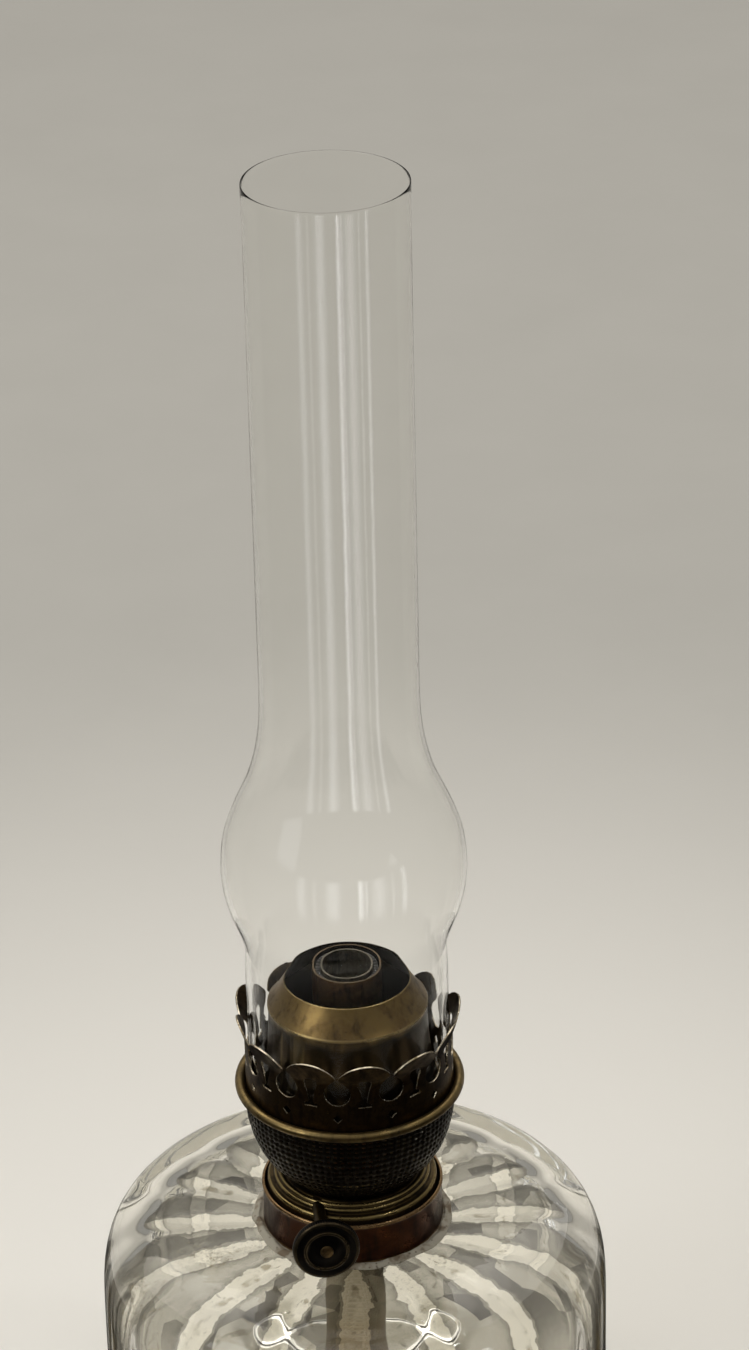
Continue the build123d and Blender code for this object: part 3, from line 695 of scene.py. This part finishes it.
def punchBasket(settings):
    bm = outlineMesh(settings["outline"], False)
    bmesh.ops.subdivide_edges(bm, edges=bm.edges, cuts=3, use_grid_fill=False)
    columns = settings["holes"] * 2
    turnOnLathe(bm, columns)
    heights = sorted({round(v.co.z / mm, 3) for v in bm.verts}, reverse=True)
    rows = {z: i for i, z in enumerate(heights)}
    punched = []
    for face in bm.faces:
        row = rows[max(round(v.co.z / mm, 3) for v in face.verts)]
        spot = face.calc_center_median()
        column = int((math.atan2(spot.y, spot.x) + math.tau) / math.tau * columns) % columns
        inside = settings["solidTop"] <= row <= len(heights) - settings["solidFoot"]
        if inside and row % 2 == 1 and column % 2 == 0:
            punched.append(face)
    bmesh.ops.delete(bm, geom=punched, context="FACES")
    return bm


bm = punchBasket(basket)
markWear(bm, *basket["wear"])
basketBowl = addPiece("basket_bowl", bm, "burner", finish["basket"], ["basket"], sharp=50)
thicken(basketBowl, basket["sheet"])
print("basket made", len(basketBowl.data.polygons), "faces")

# flame cone: bell wall, crisp shoulder and a conical top with a thin turned lip
cone = {"steps": 96, "sheet": 0.5, "wear": (8, 36), "outline": [
    (22.5, 130.65), (23.9, 130.7), (24.0, 131.0), (23.6, 131.5), (23.2, 132.2), (22.6, 135.5),
    (21.9, 139.5), (21.35, 144), (21.0, 149), (20.85, 153.6), (20.95, 154.7), (21.2, 155.15),
    (21.15, 155.5), (20.7, 155.95), (19.6, 157.3), (18.2, 159.5), (17.1, 161.3), (16.65, 162.15),
    (16.45, 162.55), (16.2, 162.6),
]}
spunPiece("flame_cone", cone, "burner", finish["cone"], ["cone"])
print("cone made")

# spring crown: one pierced prong drawn flat, repeated twelve times and bent round
crown = {
    "prongs": 12,
    "radius": 26.95,
    "sheet": 0.45,
    "lift": 0.02,  # just clear of the gallery's floor
    "ease": 0.07,  # rounding of the cut edges
    "height": 22.0,
    "bendFrom": 9.0,  # the prongs lean above this height
    "flareFrom": 15.5,
    "flare": 2.0,
    "turn": 2.4,
    "lean": [0.2, 1.1, 0.1, 0.5, -0.1, 0.4, 1.3, 0.9, 1.7, 0.2, 0.6, 0.0],
    "edge": [  # from the middle of a gap: inset from it and height
        (0, 0), (0, 3.75), (1.3, 5.05), (0, 6.35), (0, 9.0), (1.4, 9.3), (2.6, 10.2), (3.35, 11.6),
        (3.45, 13.0), (3.05, 14.2), (2.0, 15.6), (0.9, 16.8), (0.45, 17.5), (0.6, 18.2), (1.4, 19.2),
        (2.6, 20.4), (4.0, 21.3), (5.6, 21.85),
    ],
    "slot": [(1.75, 8.3), (1.75, 9.2), (0.55, 9.7), (1.0, 12.6), (1.75, 15.2), (1.6, 16.4), (0.9, 16.75)],
    "columns": 10,  # cuts across each half of a prong, so that it bends smoothly
    "rows": (2, 4, 6.5, 8, 10, 12, 14, 16, 17.5, 19, 20.5),
}


def cutFlat(bm, spot, normal):
    bmesh.ops.bisect_plane(bm, geom=bm.verts[:] + bm.edges[:] + bm.faces[:], plane_co=spot, plane_no=normal,
                           dist=1e-7)


def drawProng(settings):
    half = math.pi * settings["radius"] / settings["prongs"]
    side = [(half - inset, v) for inset, v in settings["edge"]]
    outline = side + [(0, settings["height"])] + [(-u, v) for u, v in side[::-1]]
    keyhole = settings["slot"] + [(-u, v) for u, v in settings["slot"][::-1]]
    bm = bmesh.new()
    for run in (outline, keyhole):
        verts = [bm.verts.new((u * mm, 0, v * mm)) for u, v in run]
        for pair in zip(verts, verts[1:] + verts[:1]):
            bm.edges.new(pair)
    bmesh.ops.triangle_fill(bm, use_beauty=True, use_dissolve=False, edges=bm.edges)
    for i in range(1 - settings["columns"], settings["columns"]):
        cutFlat(bm, (i * half / settings["columns"] * mm, 0, 0), (1, 0, 0))
    for v in settings["rows"]:
        cutFlat(bm, (0, 0, v * mm), (0, 0, 1))
    return bm


def bendCrown(settings):
    bm = drawProng(settings)
    flat = bm.verts[:] + bm.edges[:] + bm.faces[:]
    copies = settings["prongs"] - 1
    prongs = [flat] + [bmesh.ops.duplicate(bm, geom=flat)["geom"] for i in range(copies)]
    bend = settings["height"] - settings["bendFrom"]
    flare = settings["height"] - settings["flareFrom"]
    for i, geom in enumerate(prongs):
        middle = math.radians(-90 + settings["turn"]) + i * math.tau / settings["prongs"]
        for vert in [g for g in geom if isinstance(g, bmesh.types.BMVert)]:
            u = vert.co.x / mm
            v = vert.co.z / mm
            tip = max(v - settings["bendFrom"], 0) / bend
            reach = settings["radius"] + settings["flare"] * max(v - settings["flareFrom"], 0) / flare
            reach += settings["lean"][i] * tip * tip
            bearing = middle + u / settings["radius"]
            z = v + level["gallery"] + settings["lift"]
            vert.co = Vector((math.cos(bearing) * reach, math.sin(bearing) * reach, z)) * mm
    bmesh.ops.remove_doubles(bm, verts=bm.verts, dist=0.01 * mm)
    bmesh.ops.recalc_face_normals(bm, faces=bm.faces)
    pointOutward(bm, next(iter(bm.faces)))
    return bm


springCrown = addPiece("spring_crown", bendCrown(crown), "burner", finish["crown"], ["crown"],
                       sharp=40)
springCrown.data.materials.append(finish["crownEdge"])
thicken(springCrown, crown["sheet"], 1.0).material_offset_rim = 1
easeEdges(springCrown, crown["ease"])
print("crown made", len(springCrown.data.polygons), "faces")

# knob: blackened disc with a raised ring and a finely notched rim
knob = {
    "reach": 37.2,  # from the lamp's axis to the knob's face
    "notches": 84,
    "notchDepth": 0.018,  # share of the radius
    "rim": (8.6, -2.3, -0.7),  # radius, back and front of the notched band
    "wear": (14, 50),
    "outline": [
        (1.15, -0.9), (1.15, -0.1), (1.9, -0.02), (3.2, -0.28), (4.4, -0.5), (4.9, -0.42),
        (5.2, -0.08), (5.55, 0.0), (5.85, -0.06), (6.15, -0.42), (6.6, -0.52), (7.4, -0.42),
        (7.85, -0.3), (8.35, -0.42), (8.7, -0.75), (8.8, -1.1), (8.8, -2.1), (8.7, -2.5), (8.35, -2.6),
        (8.0, -2.45), (7.85, -1.6), (7.6, -1.25), (4.0, -1.15),
    ],
}


def notchRim(bm, settings):
    band, back, front = settings["rim"]
    for vert in bm.verts:
        if vert.co.xy.length / mm > band and back < vert.co.z / mm < front:
            step = round(math.atan2(vert.co.y, vert.co.x) / math.tau * settings["notches"] * 2) % 2
            vert.co.xy *= 1 - settings["notchDepth"] * step


def ontoShaft(bm, reach):
    # the lathe's axis is laid along the winder shaft, facing the knob's side
    bmesh.ops.rotate(bm, cent=(0, 0, 0), matrix=Matrix.Rotation(math.radians(90), 3, "X"), verts=bm.verts)
    bmesh.ops.translate(bm, vec=(-shaftOffset * mm, -reach * mm, level["shaft"] * mm), verts=bm.verts)


bm = turnOnLathe(outlineMesh(knob["outline"], True), knob["notches"] * 2)
notchRim(bm, knob)
markWear(bm, *knob["wear"])
ontoShaft(bm, knob["reach"])
addPiece("knob_disc", bm, "winder", finish["knob"], ["knob"], sharp=40)
print("knob made")

# wick: flat woven band rolled into a tube, slit at the back below the side draught
wick = {
    "radius": 7.72,
    "foot": 18.0,
    "top": 165.1,
    "wall": 1.25,
    "slit": 9.0,
    "slitTop": 138.9,  # the slit narrows over its last part
    "slitEase": 8,
    "columns": 48,
    "rows": 74,
}


def rollWick(settings):
    bm = bmesh.new()
    bmesh.ops.create_grid(bm, x_segments=settings["columns"], y_segments=settings["rows"], size=0.5,
                          calc_uvs=True)
    uv = bm.loops.layers.uv.verify()
    for face in bm.faces:
        for loop in face.loops:
            loop[uv].uv = (loop.vert.co.x + 0.5, loop.vert.co.y + 0.5)
    gap = settings["slit"] / (math.tau * settings["radius"])
    for vert in bm.verts:
        z = settings["foot"] + (vert.co.y + 0.5) * (settings["top"] - settings["foot"])
        ease = min(max((settings["slitTop"] - z) / settings["slitEase"], 0), 1)
        bearing = -math.pi / 2 + vert.co.x * math.tau * (1 - gap * ease)  # the two edges meet at the back
        x = math.cos(bearing) * settings["radius"]
        y = math.sin(bearing) * settings["radius"]
        vert.co = Vector((x, y, z)) * mm
    return bm


wickRoll = addPiece("wick_roll", rollWick(wick), "wick", finish["wick"], ["wick"])
thicken(wickRoll, wick["wall"], 0.0)
print("wick made")

# the remaining CAD pieces keep their shape and take a finish
kept = {
    "wick_tube": "sooted", "air_tube": "tube", "air_tube_cap": "tube", "air_duct": "tube",
    "wheel_box": "tube", "shaft_sleeve": "base", "winder_shaft": "winder", "wheel_front": "winder",
    "wheel_back": "winder", "stop_ring": "winder", "knob_hub": "knob",
}
for node, look in kept.items():
    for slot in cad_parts[node].material_slots:
        slot.material = finish[look]
print("kept nodes finished", len(kept))


# stage: pale floor, soft light and the camera at the photograph's angle
def addStage(name, bm, material):
    mesh = bpy.data.meshes.new(name)
    bm.to_mesh(mesh)
    bm.free()
    mesh.materials.append(material)
    obj = bpy.data.objects.new(name, mesh)
    scene.collection.objects.link(obj)
    obj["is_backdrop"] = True
    return obj


# the floor is painted lighter near the lamp and darker away from it: a painted pool of light
def paleFloor(look):
    f = Finish("floor")
    away = f.node("ShaderNodeVectorMath", {"operation": "LENGTH"}, {0: f.place()}, "Value")
    far = f.tint(look["far"], look["mottle"], f.cloud(60, 4, 0.6))
    return f.show({
        "Base Color": f.tint(look["near"], far, away.fade(*look["fade"])),
        "Roughness": 0.75,
        "Specular IOR Level": 0.0,
        "Normal": f.relief(f.cloud(4, 4, 0.6), 0.15, 0.3),
    })


# the near colour is a painted pool of light round the lamp; the far and mottle colours are the floor's own
# tone
floor = {
    "radius": 6.0, "near": (0.76, 0.737, 0.682), "far": (0.405, 0.393, 0.360),
    "mottle": (0.435, 0.423, 0.388), "fade": (0.08, 0.55),
}
bm = bmesh.new()
bmesh.ops.create_circle(bm, cap_ends=True, segments=96, radius=floor["radius"])
addStage("floor", bm, paleFloor(floor))


# the sky lights the lamp, and the camera, mirrors and glass see the room's wall instead
def studioRoom(look):
    f = Finish("studio", bpy.data.worlds, "ShaderNodeOutputWorld")
    sky = f.node("ShaderNodeBackground", None, {"Color": paint(look["sky"]), "Strength": look["strength"]})
    wall = f.node("ShaderNodeBackground", None, {"Color": paint(look["wall"])})
    seen = f.ray("Camera").most(f.ray("Glossy").most(f.ray("Transmission")))
    return f.output(f.node("ShaderNodeMixShader", None, {0: seen, 1: sky, 2: wall}))


scene.world = studioRoom({"sky": (1.0, 0.98, 0.95), "strength": 0.5, "wall": (0.26, 0.253, 0.236)})


def softLight(name, size, power, place, aim, colour=(1, 1, 1)):
    light = bpy.data.lights.new(name, "AREA")
    light.shape = "RECTANGLE"
    light.size, light.size_y = size
    light.energy = power
    light.color = colour
    lamp = bpy.data.objects.new(name, light)
    lamp.location = place
    lamp.rotation_euler = (Vector(aim) - Vector(place)).to_track_quat("-Z", "Y").to_euler()
    lamp.visible_camera = False
    scene.collection.objects.link(lamp)


softLight("overhead", (2.6, 1.9), 23, (-0.2, 0.75, 1.75), (0, 0, 0.1), (1, 0.97, 0.93))
softLight("leftWindow", (0.5, 0.9), 4, (-1.0, -0.5, 0.75), (0, 0, 0.15), (0.94, 0.97, 1))
softLight("spark", (0.06, 0.06), 1.2, (0.7, -0.5, 1.3), (0, 0, 0.2))

# a dark card round the lamp, lying low, with soft stripes in front for the glass to mirror
card = {
    "near": 0.072,
    "far": 0.52,
    "lift": 0.001,
    "top": 0.26,
    "half": 105,  # degrees to each side of the camera
    "flank": 0.25,  # reach of the low strips that carry on round the sides
    "behind": 168,
    "dark": (0.01, 0.01, 0.01),
    "light": (0.95, 0.97, 1.0),
    "strength": 26.0,
    "fade": (0.33, 0.56),
    "stripes": [  # bearing, half width and brightness
        (-38, 7, 0.35), (-26, 3, 0.2), (-10, 10, 0.5), (14, 4, 1.0), (19, 2, 0.5), (30, 10, 0.4),
        (43, 2, 0.3), (54, 4, 0.5),
    ],
}


def stripedCard(look):
    f = Finish("card")
    spot = f.node("ShaderNodeSeparateXYZ", None, {"Vector": f.place(turn=(0, 0, -towardCamera))})
    x, y, z = (spot.part(axis) for axis in "XYZ")
    bearing = f.node("ShaderNodeMath", {"operation": "ARCTAN2"}, {0: y, 1: x}) * (180 / math.pi)
    light = 0
    for centre, half, bright in look["stripes"]:
        light = light + bearing.fade(centre - half, centre) * bearing.fade(centre + half, centre) * bright
    away = (x * x + y * y) ** 0.5 + z
    light = light * away.fade(*look["fade"]) * f.ray("Singular")
    return f.show({
        "Base Color": paint(look["dark"]),
        "Roughness": 1.0,
        "Emission Color": f.tint((0, 0, 0), look["light"], light),
        "Emission Strength": look["strength"],
    })


def sweepCard(bm, profile, start, end):
    # a strip of card swept round the lamp between two bearings from the camera's side, in degrees
    rim = [bm.verts.new((reach, 0, height)) for reach, height in profile]
    edges = [bm.edges.new(pair) for pair in zip(rim, rim[1:])]
    turn = Matrix.Rotation(towardCamera + math.radians(start), 3, "Z")
    bmesh.ops.rotate(bm, cent=(0, 0, 0), matrix=turn, verts=rim)
    bmesh.ops.spin(bm, geom=rim + edges, cent=(0, 0, 0), axis=(0, 0, 1), dvec=(0, 0, 0),
                   angle=math.radians(end - start), steps=round((end - start) / 3), use_merge=False)


bm = bmesh.new()
inner = (card["near"], card["lift"])
sweepCard(bm, [inner, (card["far"], card["lift"]), (card["far"], card["top"])], -card["half"], card["half"])
for start in (card["half"], -card["behind"]):
    sweepCard(bm, [inner, (card["flank"], card["lift"])], start, start + card["behind"] - card["half"])
cardSheet = addStage("card", bm, stripedCard(card))
for kind in ("camera", "diffuse", "transmission", "shadow", "volume_scatter"):
    setattr(cardSheet, "visible_" + kind, False)

shot = {"distance": 1193.448, "elevation": 32.899, "pan": 0.515, "pitch": 27.807, "roll": 1.318, "lens": 120}


def setCamera(shot):
    el, pan, pitch, roll = (math.radians(shot[k]) for k in ("elevation", "pan", "pitch", "roll"))
    spot = Vector((0, -math.cos(el), math.sin(el))) * shot["distance"] + Vector((0, 0, level["bead"]))
    look = Vector((math.sin(pan) * math.cos(pitch), math.cos(pan) * math.cos(pitch), -math.sin(pitch)))
    right = Vector((math.cos(pan), -math.sin(pan), 0))
    up = right.cross(look)
    tilted = right * math.cos(roll) - up * math.sin(roll)
    upright = right * math.sin(roll) + up * math.cos(roll)
    stand = Matrix((tilted, upright, -look)).transposed().to_4x4()
    stand.translation = spot * mm
    camera = bpy.data.cameras.new("camera")
    camera.lens = shot["lens"]
    camera.sensor_width = 36
    camera.clip_start = 0.05
    obj = bpy.data.objects.new("camera", camera)
    obj.matrix_world = Matrix.Rotation(math.radians(cameraBearing), 4, "Z") @ stand
    scene.collection.objects.link(obj)
    scene.camera = obj


setCamera(shot)
print("stage set")
bpy.context.view_layer.update()
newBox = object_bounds()
for corner, cad, new in zip(("low", "high"), cadBox, newBox):
    print("size past CAD in mm,", corner, "corner", [round((b - a) / mm, 2) for a, b in zip(cad, new)])
